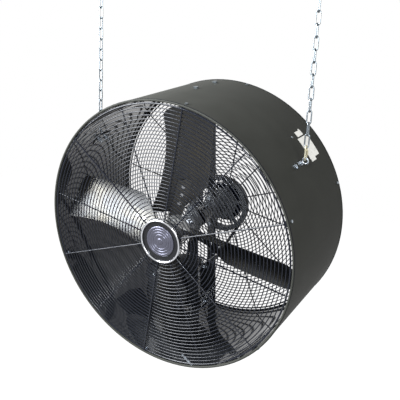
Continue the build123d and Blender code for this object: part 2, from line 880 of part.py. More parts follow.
def fan_blade(number):
    angle = number * 360 / blade_count
    behind = Plane(origin=rim_centre + axis_back * drum_depth, x_dir=outward(angle + 90), z_dir=-axis_back)
    near = blade_root - blade_spare_ends[0]
    far = blade_tip + blade_spare_ends[1]
    step = (far - near) / (blade_station_count - 1)
    stations = [near + step * k for k in range(blade_station_count)]
    sides = [[(template(edge, distance), distance) for distance in (blade_root, *stations[1:])]
             for edge in (front_edge_across, rear_edge_across)]
    lean = root_lean[1] - blade_root
    with BuildPart() as piece:
        bent_sheet(angle, stations, None, -blade_thick / 2, blade_thick / 2)
        with BuildSketch(behind) as outline:
            with BuildLine():
                left = Spline(*sides[0])
                right = Spline(*sides[1])
                Line(left @ 0, right @ 0)
                Line(left @ 1, right @ 1)
            make_face()
            Circle(blade_tip, mode=Mode.INTERSECT)
            fillet(outline.vertices().sort_by(Axis.Y)[-2:], tip_round)
            with BuildSketch(mode=Mode.INTERSECT) as root:
                with BuildLine():
                    Polyline((root_corner[0], blade_root), (root_corner[1], blade_root),
                             (cut_end, blade_root + cut_end - root_corner[1]), (cut_end, far), (-cut_end, far),
                             (-cut_end, root_lean[1] + lean), root_lean, close=True)
                make_face()
                fillet(root.vertices().sort_by(Axis.Y)[0:2].sort_by(Axis.X)[0], root_round)
        extrude(outline.sketch, amount=drum_depth, mode=Mode.INTERSECT)
        for plane in blade_rivet_planes(angle):
            drill(plane.offset(deep / 2), rivet + bolt_play, deep)
    save(piece, f"fan_blade_{number + 1}")


def fan_spider():
    """Hub barrel with four arms, bent like the blades that they carry."""
    outer = -blade_thick / 2 - arm_gap
    with BuildPart() as piece:
        for number in range(blade_count):
            angle = number * 360 / blade_count
            bent_sheet(angle, arm_stations, arm_half, outer - arm_thick, outer)
            for plane in blade_rivet_planes(angle):
                drill(plane.offset(deep / 2), rivet + bolt_play, deep)
        ring(place(0, 0, hub_rear), hub_radius, 0, hub_rear - hub_front)
        drill(place(0, 0, hub_front).offset(1), shaft + running, hub_rear - hub_front + 2)
    save(piece, "fan_spider")


def blade_rivets():
    front = blade_thick / 2 + arm_gap + arm_thick + head_gap + rivet_lift
    back = blade_thick / 2 + head_gap
    with BuildPart() as piece:
        for number in range(blade_count):
            for plane in blade_rivet_planes(number * 360 / blade_count):
                ring(plane.offset(-back), rivet, 0, front + back)
                ring(plane.offset(front), rivet_head, 0, rivet_head_height)
                ring(plane.offset(-back), rivet_head, 0, -rivet_head_height)
    save(piece, "blade_rivets")


def sheave_rim(section, outside, inside, axis):
    """A rim with its V groove."""
    front = belt_depth - sheave_width / 2
    rear = belt_depth + sheave_width / 2
    mouth = belt_width / 2 + belt_fit
    floor = mouth - groove_depth * tan(radians(belt_angle))
    bottom = outside - groove_depth
    points = [(inside, front), (outside, front), (outside, belt_depth - mouth), (bottom, belt_depth - floor),
              (bottom, belt_depth + floor), (outside, belt_depth + mouth), (outside, rear), (inside, rear)]
    turned(section, points, axis)


def fan_sheave_wheel():
    """Large sheave: hub, web, and spokes from the web to the rim."""
    web_rear = belt_depth + web_thick / 2
    hub_back = belt_depth + sheave_width / 2
    with BuildPart() as piece:
        sheave_rim(section_plane(90), fan_sheave, rim_inside, drum_axis)
        with BuildSketch(place(0, 0, web_rear)) as face:
            Circle(web_radius)
            with PolarLocations((web_radius + rim_inside) / 2, spoke_count, start_angle=spoke_start):
                Rectangle(rim_inside - web_radius + 2 * spoke_root, spoke_width)
        extrude(face.sketch, amount=web_thick)
        ring(place(0, 0, hub_back), sheave_hub, 0, sheave_hub_length)
        drill(place(0, 0, hub_back - sheave_hub_length).offset(1), shaft + running, sheave_hub_length + 2)
    save(piece, "fan_sheave")


def v_belt():
    """Rubber belt round both sheaves, flush with their rims."""
    spread = hypot(motor_across, motor_drop)
    lean = degrees(atan2(-motor_drop, motor_across))
    turn = degrees(asin((fan_sheave - motor_sheave) / spread))
    plane = place(0, 0, belt_depth)
    with BuildPart() as piece:
        with BuildLine(plane) as path:
            big = CenterArc((0, 0), fan_sheave, lean + 90 - turn, 180 + 2 * turn)
            small = CenterArc((motor_across, -motor_drop), motor_sheave, lean - 90 + turn, 180 - 2 * turn)
            Line(big @ 1, small @ 0)
            Line(small @ 1, big @ 0)
        start = big @ 0
        out = (start - plane.origin).normalized()
        with BuildSketch(Plane(origin=start, x_dir=out, z_dir=big % 0)) as face:
            narrow = belt_width / 2 - belt_height * tan(radians(belt_angle))
            with BuildLine():
                Polyline((0, belt_width / 2), (0, -belt_width / 2), (-belt_height, -narrow),
                         (-belt_height, narrow), close=True)
            make_face()
        sweep(face.sketch, path=path.line)
    save(piece, "v_belt")


def motor_axis():
    return Axis(motor_section().origin, axis_back)


def motor_sheave_wheel():
    hub_back = belt_depth + sheave_width / 2
    hub_front = hub_back - sheave_hub_length
    with BuildPart() as piece:
        sheave_rim(motor_section(), motor_sheave, small_hub, motor_axis())
        ring(motor_plane(hub_back), small_hub + 1, 0, sheave_hub_length)
        drill(motor_plane(hub_front).offset(1), motor_shaft + running, sheave_hub_length + 2)
    save(piece, "motor_sheave")


def motor_mount():
    """Flat plate on the side legs of both struts. Its slots let the motor down to tighten the belt."""
    length = mount_depths[1] - mount_depths[0]
    height = mount_heights[1] - mount_heights[0]
    middle_height = sum(mount_heights) / 2
    with BuildPart() as piece:
        face_plane = side_plane(-strut_width / 2, middle_height, sum(mount_depths) / 2, -1)
        block(face_plane, length, height, mount_thick)
        for front in strut_depths:
            for y in mount_bolt_heights:
                seat = side_plane(-strut_width / 2 + 1, y, front + mount_bolt_set, -1)
                with BuildSketch(seat) as slot:
                    SlotOverall(slot_length, 2 * (base_bolt[0] + bolt_play), rotation=90)
                extrude(slot.sketch, amount=mount_thick + 2, mode=Mode.SUBTRACT)
        for seat in base_bolt_seats(1):
            drill(seat, base_bolt[0] + bolt_play, mount_thick + base_thick + 3)
    save(piece, "motor_mount")


def base_bolt_seats(lift):
    """Seats of the four bolts that hold the motor's base to its mount, on the base's side."""
    left = -strut_width / 2 - mount_thick - base_thick - lift
    middle = sum(base_depths) / 2
    return [side_plane(left, -motor_drop + y, middle + depth, -1)
            for y in (-base_bolt_half_height, base_bolt_half_height)
            for depth in (-base_bolt_half_depth, base_bolt_half_depth)]


def motor_base():
    """Bent foot with two webs that hold the motor's shell."""
    left = -strut_width / 2 - mount_thick
    length = base_depths[1] - base_depths[0]
    middle = sum(base_depths) / 2
    with BuildPart() as piece:
        block(side_plane(left, -motor_drop, middle, -1), length, 2 * base_half_height, base_thick)
        for depth in (base_depths[0] + base_web / 2, base_depths[1] - base_web / 2):
            block(side_plane(left, -motor_drop, depth, -1), base_web, 2 * base_web_half, motor_height - 24)
        drill(motor_plane(base_depths[0]).offset(1), motor_radius + seat_gap, length + 2)
        for seat in base_bolt_seats(1):
            drill(seat, base_bolt[0] + bolt_play, mount_thick + base_thick + 3)
    save(piece, "motor_base")


def motor_base_bolts():
    """Four bolts and their nuts."""
    grip = base_thick + mount_thick
    with BuildPart() as piece:
        for seat in base_bolt_seats(head_gap):
            bolt(seat, base_bolt, grip + bolt_reach)
            nut(seat.offset(-grip - 2 * head_gap), base_bolt)
    save(piece, "motor_base_bolts")


def through_bolt_planes(depth):
    reach = through_circle * sqrt(0.5)
    return [place(motor_across + x * reach, y * reach - motor_drop, depth) for x in (-1, 1) for y in (-1, 1)]


def motor_shell():
    with BuildPart() as piece:
        ring(motor_plane(motor_rear), motor_radius, motor_radius - motor_wall, motor_rear - motor_front)
    save(piece, "motor_shell")


def motor_end_bell(name, joint, outwards):
    """Dished cover: joint is where it meets the shell, outwards the way that it bulges."""
    spigot = motor_radius - motor_wall - running
    hub = bush_radius + running
    points = [(hub, bell_depth), (hub + 10, bell_depth), (hub + 14, bell_depth - 4), (motor_radius - 12, 12),
              (motor_radius, 6), (motor_radius, 0), (spigot, 0), (spigot, -bell_spigot),
              (motor_radius - 14, -bell_spigot), (motor_radius - 14, 6), (hub + 14, bell_depth - 10),
              (hub + 10, -bell_spigot), (hub, -bell_spigot)]
    points = [(radius, joint + outwards * depth) for radius, depth in points]
    with BuildPart() as piece:
        turned(motor_section(), points, motor_axis())
        for plane in through_bolt_planes(joint + outwards * bell_depth):
            drill(plane.offset(40), through_bolt + bolt_play, 80)
    save(piece, name)


def motor_bushes():
    length = bell_depth + bell_spigot
    with BuildPart() as piece:
        ring(motor_plane(motor_front + bell_spigot), bush_radius, motor_shaft + running, length)
        ring(motor_plane(motor_rear + bell_depth), bush_radius, motor_shaft + running, length)
    save(piece, "motor_bushes")


def motor_stator():
    """Laminated core with a band of winding at each end."""
    rear = core_depths[1]
    length = core_depths[1] - core_depths[0]
    with BuildPart() as piece:
        ring(motor_plane(rear), stator_outside, stator_inside, length)
        winding_end = motor_plane(rear + winding_length)
        ring(winding_end, winding_outside, winding_inside, length + 2 * winding_length)
    save(piece, "motor_stator")


def stator_sleeve():
    """Sleeve that carries the core in the shell, open where the through bolts pass."""
    front, rear = core_depths
    with BuildPart() as piece:
        ring(motor_plane(rear), motor_radius - motor_wall - running, stator_outside + running, rear - front)
        for plane in through_bolt_planes(front):
            drill(plane.offset(1), through_bolt + 1, rear - front + 2)
    save(piece, "stator_sleeve")


def motor_rotor():
    front, rear = core_depths
    with BuildPart() as piece:
        ring(motor_plane(rear), rotor_outside, motor_shaft + running, rear - front)
    save(piece, "motor_rotor")


def motor_shaft_rod():
    with BuildPart() as piece:
        ring(motor_plane(motor_shaft_rear), motor_shaft, 0, motor_shaft_rear - motor_shaft_front)
        chamfer(piece.edges().filter_by(GeomType.CIRCLE), 0.8)
    save(piece, "motor_shaft")


def motor_through_bolts():
    """Four long screws that clamp the end bells to the shell, each with its nut."""
    sizes = (through_bolt, 8, 3.5, 4)
    front = motor_front - 12
    rear = motor_rear + 12
    with BuildPart() as piece:
        for plane in through_bolt_planes(front):
            bolt(plane, sizes, rear - front + 8)
            nut(plane.offset(-(rear - front)), sizes)
    save(piece, "motor_through_bolts")


def box_plane(height):
    """Plane on the motor's side where the terminal box stands: x runs back."""
    direction = outward(box_turn)
    origin = motor_section().origin + axis_back * box_depth + direction * (motor_radius + height)
    return Plane(origin=origin, x_dir=axis_back, z_dir=direction)


def junction_box():
    sink = 6
    with BuildPart() as piece:
        block(box_plane(-sink), box_length, box_width, box_height + sink)
        with BuildSketch(box_plane(box_wall)) as hollow:
            Rectangle(box_length - 2 * box_wall, box_width - 2 * box_wall)
        extrude(hollow.sketch, amount=box_height, mode=Mode.SUBTRACT)
        drill(motor_plane(motor_front), motor_radius + seat_gap, motor_rear - motor_front)
        hole = gland_plane()
        drill(hole.offset(1), gland_radius - 3 + bolt_play, box_wall + 2)
    save(piece, "junction_box")


def junction_box_lid():
    with BuildPart() as piece:
        with BuildSketch(box_plane(box_height + head_gap)) as face:
            RectangleRounded(box_length + 2, box_width + 2, 3)
        extrude(face.sketch, amount=box_wall)
        with Locations(box_plane(box_height + head_gap + box_wall)):
            with GridLocations(box_length - 14, 0, 2, 1):
                Cylinder(3.5, 1.5, align=(Align.CENTER, Align.CENTER, Align.MIN))
    save(piece, "junction_box_lid")


def gland_plane():
    """On the rear end of the terminal box, facing back."""
    end = box_plane(box_height / 2)
    return Plane(origin=end.origin + axis_back * box_length / 2, x_dir=across, z_dir=axis_back)


def cord_gland():
    seat = gland_plane()
    with BuildPart() as piece:
        ring(seat.offset(-box_wall - 4), gland_radius - 3, 0, gland_length + box_wall + 4)
        with BuildSketch(seat.offset(head_gap)) as face:
            RegularPolygon(gland_radius, 6, major_radius=False)
        extrude(face.sketch, amount=6)
        ring(seat.offset(8), gland_radius - 0.5, 0, gland_length - 8)
        drill(seat.offset(gland_length + 1), gland_bore, gland_length + box_wall + 8)
    save(piece, "cord_gland")


ceiling_plate(-1, "ceiling_plate_left")
ceiling_plate(1, "ceiling_plate_right")
chain(-1, "chain_left")
chain(1, "chain_right")
quick_links()
quick_link_sleeves()
drum_shell()
guard_frame("front_guard_frame", guard_inset, 1, False)
guard_frame("rear_guard_frame", drum_depth - guard_inset, -1, True)
guard_rings("front_guard_rings", guard_inset)
guard_rings("rear_guard_rings", drum_depth - guard_inset)
guard_screws()
guard_nuts()
badge_bezel()
badge_dish()
badge_disc()
badge_clamp()
eye_bolts()
eye_bolt_nuts()
backing_plates()
frame_bolts()
frame_nuts()
rating_plate()
serial_plate()
earth_screw()
strut("strut_front", strut_depths[0])
strut("strut_rear", strut_depths[1])
bearing_housing("bearing_housing_front", strut_depths[0])
bearing_housing("bearing_housing_rear", strut_depths[1])
bearing_outer_rings()
bearing_inner_rings()
bearing_balls()
mounting_bolts()
mounting_nuts()
shaft_tube()
fan_shaft()
for blade_number in range(blade_count):
    fan_blade(blade_number)
fan_spider()
blade_rivets()
fan_sheave_wheel()
v_belt()
motor_sheave_wheel()
motor_mount()
motor_base()
motor_base_bolts()
motor_shell()
motor_end_bell("motor_end_bell_front", motor_front, -1)
motor_end_bell("motor_end_bell_rear", motor_rear, 1)
motor_bushes()
motor_stator()
stator_sleeve()
motor_rotor()
motor_shaft_rod()
motor_through_bolts()
junction_box()
junction_box_lid()
cord_gland()
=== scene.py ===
# Hanging drum fan: finishes, smooth wires, lights and camera on top of the CAD model.
import json
import math

import bpy
import numpy as np
from mathutils import Matrix, Vector


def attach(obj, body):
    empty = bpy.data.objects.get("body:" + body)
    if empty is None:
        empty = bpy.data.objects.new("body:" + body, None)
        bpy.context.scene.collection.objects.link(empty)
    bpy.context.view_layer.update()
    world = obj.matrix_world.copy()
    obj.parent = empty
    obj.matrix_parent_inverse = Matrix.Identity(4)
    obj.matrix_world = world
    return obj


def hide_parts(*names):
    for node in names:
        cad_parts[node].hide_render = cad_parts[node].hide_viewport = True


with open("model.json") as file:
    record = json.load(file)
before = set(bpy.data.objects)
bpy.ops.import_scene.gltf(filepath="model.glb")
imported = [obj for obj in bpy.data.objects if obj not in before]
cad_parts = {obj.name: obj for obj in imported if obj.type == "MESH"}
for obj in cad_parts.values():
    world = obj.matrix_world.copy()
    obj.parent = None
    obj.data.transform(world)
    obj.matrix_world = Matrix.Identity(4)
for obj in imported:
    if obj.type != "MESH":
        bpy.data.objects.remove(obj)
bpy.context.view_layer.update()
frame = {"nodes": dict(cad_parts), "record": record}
nodes = frame["nodes"]
print("frame loaded with", len(nodes), "nodes")

scene = bpy.context.scene
scene.view_settings.view_transform = "Standard"

# The drum's own frame: all lengths here are in metres.
drum = {
    "tilt": math.radians(5.96),
    "rimCentre": Vector((0, -0.160033, -0.774594)),
    "depth": 0.395,
    "radius": 0.4095,
    "sheet": 0.0015,
}
axisBack = Vector((0, math.cos(drum["tilt"]), math.sin(drum["tilt"])))
axisUp = Vector((0, -math.sin(drum["tilt"]), math.cos(drum["tilt"])))
across = Vector((1, 0, 0))


# Wraps a socket, so that sums and products on it add Math nodes.
class ShaderMath:
    def __init__(self, tree, socket):
        self.tree = tree
        self.socket = socket

    def join(self, operation, *others, clamp=False):
        node = self.tree.nodes.new("ShaderNodeMath")
        node.operation = operation
        node.use_clamp = clamp
        for index, value in enumerate((self, *others)):
            if isinstance(value, ShaderMath):
                self.tree.links.new(value.socket, node.inputs[index])
            else:
                node.inputs[index].default_value = value
        return ShaderMath(self.tree, node.outputs[0])

    def __add__(self, other):
        return self.join("ADD", other)

    def __mul__(self, other):
        return self.join("MULTIPLY", other)

    def __sub__(self, other):
        return self.join("SUBTRACT", other)

    def __rsub__(self, other):
        return (self * -1) + other

    def __truediv__(self, other):
        return self.join("DIVIDE", other)

    __radd__ = __add__
    __rmul__ = __mul__

    def clamped(self):
        return self.join("ADD", 0.0, clamp=True)

    def ramp(self, low, high):  # 0 below low, 1 above high, straight between
        return ((self - low) / (high - low)).clamped()


# One material: its tree, and a method for every node that isn't arithmetic.
class Finish:
    def __init__(self, name):
        self.material = bpy.data.materials.new(name)
        self.material.use_nodes = True
        self.tree = self.material.node_tree
        self.tree.nodes.clear()
        self.output = self.tree.nodes.new("ShaderNodeOutputMaterial")

    def node(self, kind, settings=None, sockets=None):
        made = self.tree.nodes.new(kind)
        for key, value in (settings or {}).items():
            setattr(made, key, value)
        for key, value in (sockets or {}).items():
            if isinstance(value, ShaderMath):
                value = value.socket
            if isinstance(value, bpy.types.NodeSocket):
                self.tree.links.new(value, made.inputs[key])
            elif isinstance(value, (tuple, list)) and len(value) == 3 and made.inputs[key].type == "RGBA":
                made.inputs[key].default_value = (*value, 1)
            else:
                made.inputs[key].default_value = value
        return made

    def value(self, socket):
        return ShaderMath(self.tree, socket)

    # Object coordinates, first moved to origin and then turned: a pattern's own frame.
    def position(self, origin=(0, 0, 0), turn=(0, 0, 0), scale=(1, 1, 1)):
        coordinates = self.node("ShaderNodeTexCoord").outputs["Object"]
        moved = self.node("ShaderNodeVectorMath", {"operation": "SUBTRACT"}, {0: coordinates, 1: Vector(origin)})
        turned = self.node("ShaderNodeMapping", {}, {"Vector": moved.outputs[0], "Rotation": turn, "Scale": scale})
        return turned.outputs[0]

    def drumPosition(self):
        return self.position(drum["rimCentre"], (-drum["tilt"], 0, 0))

    # One number of a vector: 0 is right, 1 is back, 2 is up.
    def part(self, vector, index):
        return self.value(self.node("ShaderNodeSeparateXYZ", {}, {0: vector}).outputs[index])

    # Distance from the drum's axis.
    def drumRadius(self):
        flat = self.node("ShaderNodeVectorMath", {"operation": "MULTIPLY"}, {0: self.drumPosition(), 1: (1, 0, 1)})
        length = self.node("ShaderNodeVectorMath", {"operation": "LENGTH"}, {0: flat.outputs[0]})
        return self.value(length.outputs[1])

    # Noise whose lumps are about size metres across, from 0 to 1.
    def noise(self, size, detail, roughness=0.5, stretch=(1, 1, 1)):
        made = self.node("ShaderNodeTexNoise", {"noise_dimensions": "3D"},
                         {"Vector": self.position(scale=stretch), "Scale": 1 / size, "Detail": detail,
                          "Roughness": roughness})
        return self.value(made.outputs[0])

    def mix(self, amount, first, second):
        return self.node("ShaderNodeMix", {"data_type": "RGBA"}, {0: amount, 6: first, 7: second}).outputs[2]

    def bump(self, height, strength, distance):
        sockets = {"Height": height, "Strength": strength, "Distance": distance}
        return self.node("ShaderNodeBump", {}, sockets).outputs[0]

    # The Principled shader, with spaces in its sockets' names given as underscores.
    def shade(self, **sockets):
        named = {key.replace("_", " "): value for key, value in sockets.items()}
        surface = self.node("ShaderNodeBsdfPrincipled", {}, named)
        self.tree.links.new(surface.outputs[0], self.output.inputs["Surface"])
        return self.material


# In the finishes below a pattern is its size in metres, its detail and, where they differ from the usual, its
# roughness and its stretch. A range is where a ramp starts and ends, spread is how far a pattern moves the
# roughness, and bump is strength and depth in metres.
powderCoat = {
    "colour": (0.024, 0.0245, 0.0215),
    "dusty": (0.032, 0.0325, 0.029),
    "cloud": (0.12, 3),
    "cloudRange": (0.35, 0.75),
    "grain": (0.0007, 1),
    "grainShare": 0.6,
    "peel": (0.004, 2),
    "peelShare": 0.4,
    "bump": (0.3, 0.0002),
    "roughness": 0.5,
    "spread": 0.12,
    "shine": 0.04,
    # painted shade: the drum's inside is painted darker than its outside, for the shade inside the drum
    "insideShadeColour": (0.01, 0.0108, 0.012),
    "insideCoat": 1.0,
    "coatRoughness": 0.04,
    "insideRange": (-0.6, -0.4),  # from the drum's radius, in thicknesses of its sheet
    "bead": 0.009,
    "beadFade": 1.2,
    # painted shade: the curled rims are painted near black, a dark line along the rolled beads
    "rimShadeColour": (0.005, 0.0055, 0.008),
    "rimRoughness": 0.5,
    "rimRange": (0.1, 0.2),  # as insideRange
}


# Fine sprayed powder: grains under a millimetre and a faint cloud of dust.
# The drum's inside behind the bead is glossier and painted darker, a painted shade inside the drum, and the curled
# rims are painted near black, a painted shade line along the rolled beads.
def makePowderCoat(values, name, isDrum=False):
    f = Finish(name)
    cloud = f.noise(*values["cloud"])
    height = f.noise(*values["grain"]) * values["grainShare"] + f.noise(*values["peel"]) * values["peelShare"]
    colour = f.mix(cloud.ramp(*values["cloudRange"]), values["colour"], values["dusty"])
    roughness = cloud * values["spread"] + values["roughness"]
    sockets = {"Specular_IOR_Level": values["shine"], "Normal": f.bump(height, *values["bump"])}
    if isDrum:
        fromAxis = f.drumRadius()
        insideRange, rimRange = [[drum["radius"] + sheets * drum["sheet"] for sheets in values[key]]
                                 for key in ("insideRange", "rimRange")]
        behindBead = f.part(f.drumPosition(), 1).ramp(values["bead"], values["beadFade"] * values["bead"])
        # inside: painted shade inside the drum plus a glossier coat; rim: a painted shade line on the beads
        inside = (1 - fromAxis.ramp(*insideRange)) * behindBead
        rim = fromAxis.ramp(*rimRange)
        colour = f.mix(rim, f.mix(inside, colour, values["insideShadeColour"]), values["rimShadeColour"])
        roughness = roughness * (1 - rim) + rim * values["rimRoughness"]
        sockets |= {"Coat_Weight": inside * values["insideCoat"], "Coat_Roughness": values["coatRoughness"]}
    return f.shade(Base_Color=colour, Roughness=roughness, **sockets)


wirePaint = {
    "colour": (0.004, 0.005, 0.0085),
    "runs": (0.006, 2),
    "bump": (0.08, 0.0003),
    "roughness": 0.12,
    "spread": 0.08,
    "shine": 0.26,
}


# Dipped black paint on wire: smooth, with slight runs.
def makeWirePaint(values):
    f = Finish("wire paint")
    runs = f.noise(*values["runs"])
    return f.shade(Base_Color=values["colour"], Roughness=runs * values["spread"] + values["roughness"],
                   Specular_IOR_Level=values["shine"], Normal=f.bump(runs, *values["bump"]))


plating = {
    "patches": (0.009, 4, 0.6),
    "patchRange": (0.35, 0.7),
    "scratches": (0.0012, 2, 0.7, (1, 1, 0.15)),
    "bump": (0.12, 0.0002),
    "spread": 0.25,
}
zinc = plating | {
    "bright": (0.52, 0.56, 0.6),
    "dull": (0.24, 0.27, 0.31),
    "roughness": 0.2,
    "chain": (0.16, 0.18, 0.195),
    "chainEnd": -0.475,
    "chainFade": 0.01,
}
yellowZinc = plating | {"bright": (0.68, 0.66, 0.52), "dull": (0.42, 0.38, 0.26), "roughness": 0.22}
hubMetal = plating | {
    "bright": (0.6, 0.61, 0.62),
    "dull": (0.3, 0.3, 0.29),
    "roughness": 0.2,
    # painted reflection: the spider's arms get the blades' dark colour
    "arm": (0.09, 0.088, 0.082),
    "hubRadius": 0.052,
    "hubFade": 0.003,
}
shaftSteel = plating | {"bright": (0.5, 0.51, 0.53), "dull": (0.34, 0.35, 0.37), "roughness": 0.14}
laminated = plating | {"bright": (0.32, 0.32, 0.33), "dull": (0.18, 0.18, 0.19), "roughness": 0.38}


# Plated or ground metal, with cloudy patches and fine scratches. The fan spider's arms are painted as dark as
# its blades, the same painted dark reflection, and zinc that is higher than the chains' lower ends is duller
# than on the bolts below.
def makePlated(values, name):
    f = Finish(name)
    patches = f.noise(*values["patches"])
    scratches = f.noise(*values["scratches"])
    colour = f.mix(patches.ramp(*values["patchRange"]), values["dull"], values["bright"])
    if "arm" in values:
        # painted reflection: dark beyond the hub's radius, on the arms
        outside = f.drumRadius().ramp(values["hubRadius"], values["hubRadius"] + values["hubFade"])
        colour = f.mix(outside, colour, values["arm"])
    if "chain" in values:
        above = f.part(f.position(), 2).ramp(values["chainEnd"], values["chainEnd"] + values["chainFade"])
        colour = f.mix(above, colour, values["chain"])
    return f.shade(Base_Color=colour, Metallic=1.0, Roughness=scratches * values["spread"] + values["roughness"],
                   Normal=f.bump(scratches, *values["bump"]))


chromeTrim = {"colour": (0.56, 0.57, 0.6), "haze": (0.02, 3), "roughness": 0.06, "spread": 0.06}


def makeChrome(values):
    f = Finish("chrome trim")
    haze = f.noise(*values["haze"])
    return f.shade(Base_Color=values["colour"], Metallic=1.0,
                   Roughness=haze * values["spread"] + values["roughness"])


badgeBlack = {"colour": (0.006, 0.006, 0.007), "haze": (0.004, 3), "roughness": 0.2, "spread": 0.15, "shine": 0.2}


def makeBadgeBlack(values):
    f = Finish("badge black")
    haze = f.noise(*values["haze"])
    return f.shade(Base_Color=values["colour"], Roughness=haze * values["spread"] + values["roughness"],
                   Specular_IOR_Level=values["shine"])


badgeSilver = {
    "colour": (0.105, 0.105, 0.132),
    "shadow": (0.06, 0.06, 0.08),
    "turning": {"Scale": 260.0, "Distortion": 1.5, "Detail": 2.0},
    "bump": (0.15, 0.0002),
    "metal": 0.9,
    "roughness": 0.33,
    "spread": 0.1,
}


# Turned aluminium: fine circles round the drum's axis.
def makeBadgeSilver(values):
    f = Finish("badge silver")
    circles = f.node("ShaderNodeTexWave", {"wave_type": "RINGS", "rings_direction": "Y"},
                     {"Vector": f.drumPosition()} | values["turning"])
    turning = f.value(circles.outputs["Fac"])
    colour = f.mix(turning, values["shadow"], values["colour"])
    return f.shade(Base_Color=colour, Metallic=values["metal"],
                   Roughness=turning * values["spread"] + values["roughness"],
                   Normal=f.bump(turning, *values["bump"]))


barePlate = {
    "colour": (0.8, 0.8, 0.76),
    "stained": (0.55, 0.55, 0.5),
    "stains": (0.012, 4, 0.65),
    "stainRange": (0.5, 0.8),
    "brushed": (0.0016, 2, 0.6, (1, 0.1, 1)),
    "bump": (0.1, 0.0002),
    "roughness": 0.2,
    "spread": 0.2,
}


# Bare aluminium sheet, rubbed one way, with a few stains.
def makeBarePlate(values):
    f = Finish("bare plate")
    stains = f.noise(*values["stains"])
    brushed = f.noise(*values["brushed"])
    colour = f.mix(stains.ramp(*values["stainRange"]), values["colour"], values["stained"])
    return f.shade(Base_Color=colour, Metallic=1.0, Roughness=brushed * values["spread"] + values["roughness"],
                   Normal=f.bump(brushed, *values["bump"]))


bladeMetal = {
    # painted reflection: this dark colour stands in for a dark room mirrored in bright metal
    "colour": (0.064, 0.065, 0.066),
    # painted glints: gold-tinted patches where the metal would catch a warm light
    "warm": (0.08, 0.075, 0.064),
    "cloud": (0.06, 3),
    "cloudRange": (0.45, 0.75),
    "rolled": (0.0025, 2, 0.6, (0.06, 1, 0.06)),
    "bump": (0.05, 0.0002),
    "roughness": 0.23,
    "spread": 0.12,
}


# Rolled sheet: long faint rolling lines. Its dark colour is a painted dark reflection, and a soft gold-tinted
# cloud over it is painted glints.
def makeBladeMetal(values):
    f = Finish("blade metal")
    cloud = f.noise(*values["cloud"])
    rolled = f.noise(*values["rolled"])
    # painted reflection and painted glints: the dark base mixed with the gold-tinted cloud
    colour = f.mix(cloud.ramp(*values["cloudRange"]), values["colour"], values["warm"])
    return f.shade(Base_Color=colour, Metallic=1.0, Roughness=rolled * values["spread"] + values["roughness"],
                   Normal=f.bump(rolled, *values["bump"]))


casting = {
    "pits": (0.003, 4, 0.6),
    "pitRange": (0.55, 0.8),
    "bump": (0.4, 0.0008),
    "spread": 0.25,
    "shine": 0.4,
}
castPaint = casting | {"colour": (0.055, 0.058, 0.062), "edge": (0.11, 0.11, 0.11), "roughness": 0.34}
motorEnamel = casting | {"colour": (0.014, 0.015, 0.017), "edge": (0.03, 0.031, 0.033), "roughness": 0.24}


# Paint over a sand casting: small pits, thinner and greyer on the high spots.
def makeCastPaint(values, name):
    f = Finish(name)
    pits = f.noise(*values["pits"])
    colour = f.mix(pits.ramp(*values["pitRange"]), values["colour"], values["edge"])
    return f.shade(Base_Color=colour, Roughness=pits * values["spread"] + values["roughness"],
                   Specular_IOR_Level=values["shine"], Normal=f.bump(pits, *values["bump"]))


beltRubber = {
    "colour": (0.012, 0.012, 0.012),
    "dusty": (0.035, 0.035, 0.033),
    "dust": (0.01, 4, 0.6),
    "dustRange": (0.5, 0.8),
    "weave": (0.0009, 1),
    "bump": (0.4, 0.0003),
    "roughness": 0.68,
    "shine": 0.3,
}


# Fabric-faced belt: a fine weave and a little grey dust.
def makeRubber(values):
    f = Finish("belt rubber")
    dust = f.noise(*values["dust"])
    weave = f.noise(*values["weave"])
    colour = f.mix(dust.ramp(*values["dustRange"]), values["colour"], values["dusty"])
    return f.shade(Base_Color=colour, Roughness=values["roughness"], Specular_IOR_Level=values["shine"],
                   Normal=f.bump(weave, *values["bump"]))


glandPlastic = {"colour": (0.02, 0.02, 0.022), "grain": (0.0007, 1), "bump": (0.2, 0.0002), "roughness": 0.45,
                "spread": 0.1}


def makePlastic(values):
    f = Finish("gland plastic")
    grain = f.noise(*values["grain"])
    return f.shade(Base_Color=values["colour"], Roughness=grain * values["spread"] + values["roughness"],
                   Normal=f.bump(grain, *values["bump"]))


motorCoat = powderCoat | {"colour": motorEnamel["colour"], "dusty": motorEnamel["edge"], "roughness": 0.26}
finishes = {
    "black_paint": makePowderCoat(powderCoat, "powder coat", isDrum=True),
    "guard_paint": makeWirePaint(wirePaint),
    "zinc": makePlated(zinc, "bright zinc"),
    "yellow_zinc": makePlated(yellowZinc, "yellow zinc"),
    "chrome": makeChrome(chromeTrim),
    "badge_black": makeBadgeBlack(badgeBlack),
    "badge_silver": makeBadgeSilver(badgeSilver),
    "bare_plate": makeBarePlate(barePlate),
    "blade_metal": makeBladeMetal(bladeMetal),
    "hub_metal": makePlated(hubMetal, "hub metal"),
    "sheave_metal": makeCastPaint(castPaint, "sheave paint"),
    "motor_cast": makeCastPaint(motorEnamel, "motor casting"),
    "steel": makePlated(shaftSteel, "ground steel"),
    "cast": makeCastPaint(castPaint, "bearing paint"),
    "motor_paint": makePowderCoat(motorCoat, "motor enamel"),
    "core": makePlated(laminated, "laminations"),
    "belt_rubber": makeRubber(beltRubber),
    "gland_plastic": makePlastic(glandPlastic),
}
for subpart in frame["record"]["subparts"]:
    target = nodes[subpart["node"]]
    target.data.materials.clear()
    target.data.materials.append(finishes[subpart["material_slot"]])
print("finishes on every node:", len(finishes))


